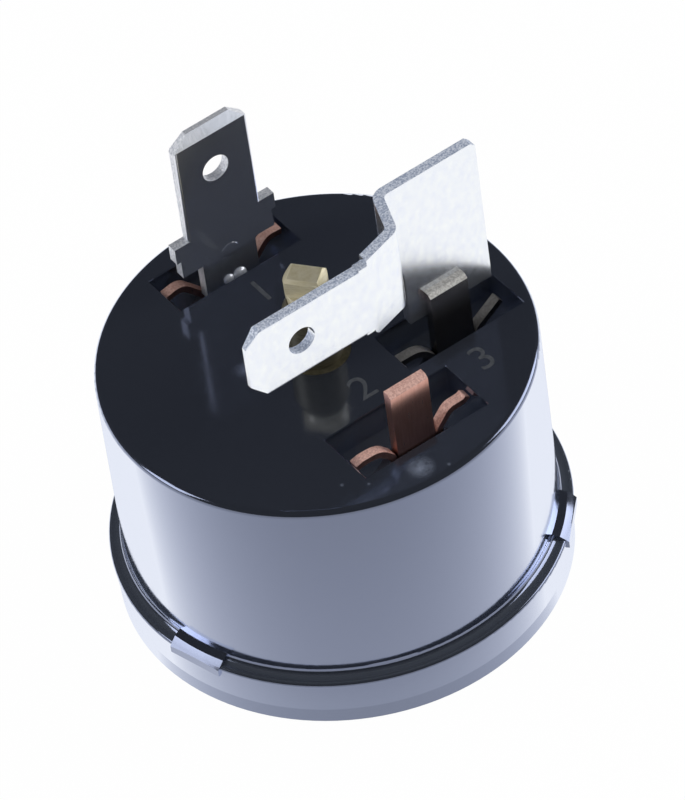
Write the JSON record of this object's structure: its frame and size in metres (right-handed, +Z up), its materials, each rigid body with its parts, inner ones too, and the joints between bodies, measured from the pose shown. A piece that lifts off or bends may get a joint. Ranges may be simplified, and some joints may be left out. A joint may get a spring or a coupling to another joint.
{
  "type": "compressor overload protector",
  "caption": "Round plug-in motor protector in black phenolic with upright and sideways push-on tabs, copper brackets and a snap-acting bimetal disc inside an open base.",
  "frame": {"origin": "centre of the round body's footprint, on the open lower face", "axes": "+Z up through the terminals, +X along the width of the terminal blades to the right, +Y to terminal 1"},
  "size_m": [0.0338, 0.0339, 0.0353],
  "materials": {
    "phenolic": "glossy moulded phenolic",
    "copper": "bare stamped copper strip",
    "tinned_copper": "tinned copper strip, worn thin",
    "tin": "tin plated brass strip, satin",
    "silver": "plain silver alloy",
    "bimetal": "plain rolled bimetal",
    "brass": "turned brass",
    "spring_steel": "plain spring steel",
    "resistance_alloy": "plain resistance ribbon"
  },
  "bodies": {
    "base": {"housing": "phenolic", "bracket_1": "copper", "bracket_2": "copper", "bracket_3": "tinned_copper", "terminal_1": "tin", "terminal_3": "tin", "fixed_contact_1": "silver", "fixed_contact_2": "silver", "calibration_stud": "brass", "stud_insert": "brass", "disc_spring": "spring_steel", "disc_washer": "spring_steel", "heater_ribbon": "resistance_alloy"},
    "contact_bridge": {"bimetal_disc": "bimetal", "moving_contact_1": "silver", "moving_contact_2": "silver"}
  },
  "joints": [
    {"name": "disc_snap", "type": "slide", "parent": "base", "child": "contact_bridge", "axis": [0, 0, -1], "range_m": [0, 0.0006], "stiffness_N_per_m": 1000, "springref_m": -0.001, "deforming": ["bimetal_disc"]}
  ]
}
